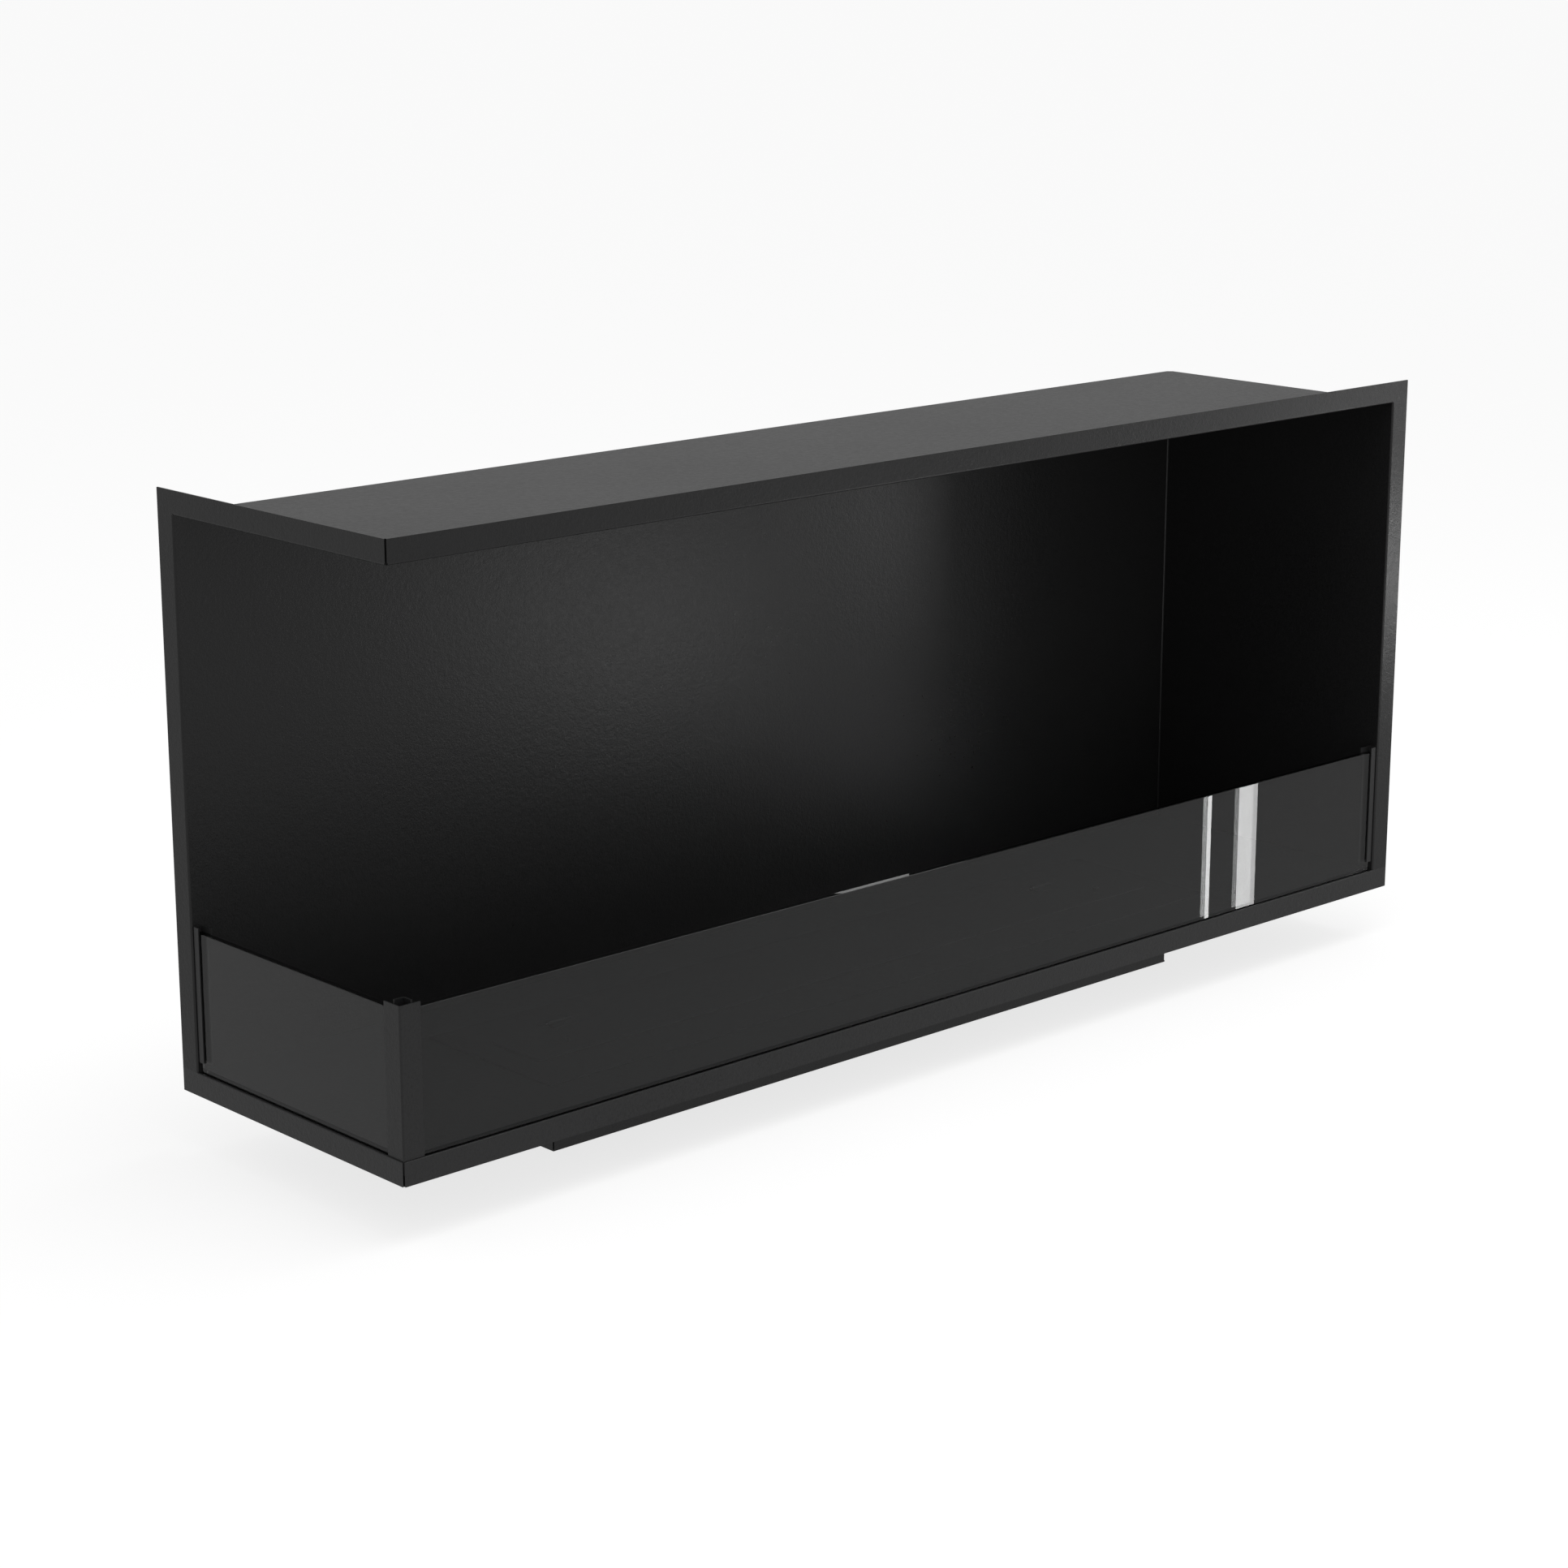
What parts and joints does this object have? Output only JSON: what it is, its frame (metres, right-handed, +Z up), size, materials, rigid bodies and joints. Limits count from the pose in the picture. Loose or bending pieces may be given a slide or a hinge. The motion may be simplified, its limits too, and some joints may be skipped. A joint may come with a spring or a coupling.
{
  "type": "wall recess corner firebox",
  "caption": "Black steel wall-recess box open at front and left, trimmed all round, with low glass screens in channels, a corner post and a lift-out lidded burner in a floor well.",
  "frame": {"origin": "centre of the footprint at the underside of the floor well, the lowest face of the part", "axes": "+X along the front from the open left corner towards the closed right side, +Y back into the wall, +Z up"},
  "size_m": [1.692, 0.424, 0.774],
  "materials": {
    "casing_black": "fine-textured black powder coat",
    "trim_black": "fine-textured black powder coat",
    "guard_black": "fine-textured black powder coat",
    "burner_black": "satin black heat-resistant coat",
    "clear_glass": "clear toughened glass, polished edges",
    "black_rubber": "matt black glazing rubber",
    "steel": "satin stainless steel",
    "zinc": "zinc-plated steel",
    "fibre": "matt white ceramic fibre"
  },
  "bodies": {
    "casing": {"roof_panel": "casing_black", "back_panel": "casing_black", "side_panel": "casing_black", "floor_panel": "casing_black", "front_bottom_trim": "trim_black", "left_bottom_trim": "trim_black", "front_glass_rail": "guard_black", "left_glass_rail": "guard_black", "corner_post": "guard_black", "corner_post_liner": "guard_black", "rear_glass_channel": "guard_black", "side_glass_channel": "guard_black", "front_glass_bead": "guard_black", "left_glass_bead": "guard_black", "front_setting_blocks": "black_rubber", "left_setting_blocks": "black_rubber", "glass_end_buffers": "black_rubber", "burner_well": "casing_black", "well_screws": "zinc", "casing_rivets": "trim_black", "wall_brackets": "zinc"},
    "front_screen": {"front_glass": "clear_glass"},
    "left_screen": {"left_glass": "clear_glass"},
    "burner": {"burner_plate": "burner_black", "burner_tank": "steel", "absorber_blocks": "fibre", "vapour_baffle": "steel", "lid_hinge_bases": "burner_black"},
    "lid": {"burner_lid": "burner_black", "lid_knobs": "burner_black", "lid_hinge_leaves": "burner_black", "lid_hinge_pins": "steel"}
  },
  "joints": [
    {"name": "front_glass_lift", "type": "slide", "parent": "casing", "child": "front_screen", "axis": [0, 0, 1], "range_m": [0, 0.2]},
    {"name": "left_glass_lift", "type": "slide", "parent": "casing", "child": "left_screen", "axis": [0, 0, 1], "range_m": [0, 0.2]},
    {"name": "burner_lift", "type": "slide", "parent": "casing", "child": "burner", "axis": [0, 0, 1], "range_m": [0, 0.12]},
    {"name": "lid_hinge", "type": "hinge", "parent": "burner", "child": "lid", "pos_m": [-0.013, 0.0362, 0.1023], "axis": [-1, 0, 0], "range_deg": [0, 100]}
  ]
}
